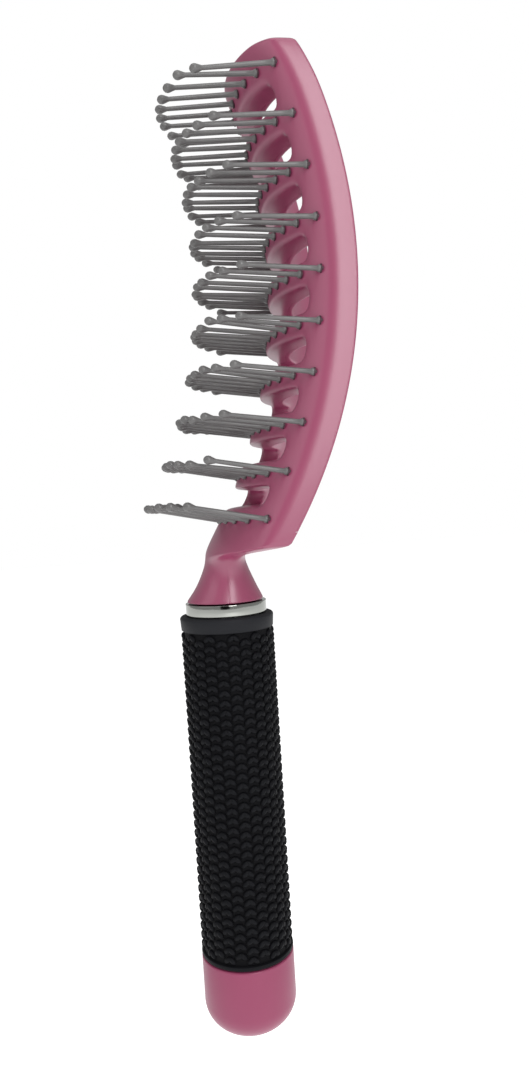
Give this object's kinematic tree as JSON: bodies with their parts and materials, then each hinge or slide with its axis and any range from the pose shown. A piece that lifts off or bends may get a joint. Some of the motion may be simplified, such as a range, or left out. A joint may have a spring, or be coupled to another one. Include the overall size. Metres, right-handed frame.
{
  "type": "vented hair brush",
  "caption": "Hair styling brush with a curved vented head, rows of ball-tipped pins, a bright ferrule ring, a textured rubber grip and a domed end cap.",
  "frame": {"origin": "middle of the grip, on the handle's axis, where a hand holds it", "axes": "+Z along the handle towards the tip of the head, -Y the side that the pins are on, +X across the head, which is symmetric about X = 0"},
  "size_m": [0.046, 0.0527, 0.2401],
  "materials": {
    "head_plastic": "satin pink moulding",
    "cover_plastic": "satin pink moulding",
    "pin_nylon": "satin grey nylon",
    "ring_metal": "bright polished ring",
    "grip_rubber": "black, moulded pattern of small chevrons",
    "core_plastic": "plain, hidden",
    "cap_plastic": "satin pink moulding"
  },
  "bodies": {
    "root": {"head_frame": "head_plastic", "head_back_cover": "cover_plastic", "pin_strip_01": "pin_nylon", "pin_strip_02": "pin_nylon", "pin_strip_03": "pin_nylon", "pin_strip_04": "pin_nylon", "pin_strip_05": "pin_nylon", "pin_strip_06": "pin_nylon", "pin_strip_07": "pin_nylon", "pin_strip_08": "pin_nylon", "pin_strip_09": "pin_nylon", "pin_strip_10": "pin_nylon", "ferrule_ring": "ring_metal", "grip_sleeve": "grip_rubber", "handle_core": "core_plastic", "end_cap": "cap_plastic"}
  },
  "joints": []
}
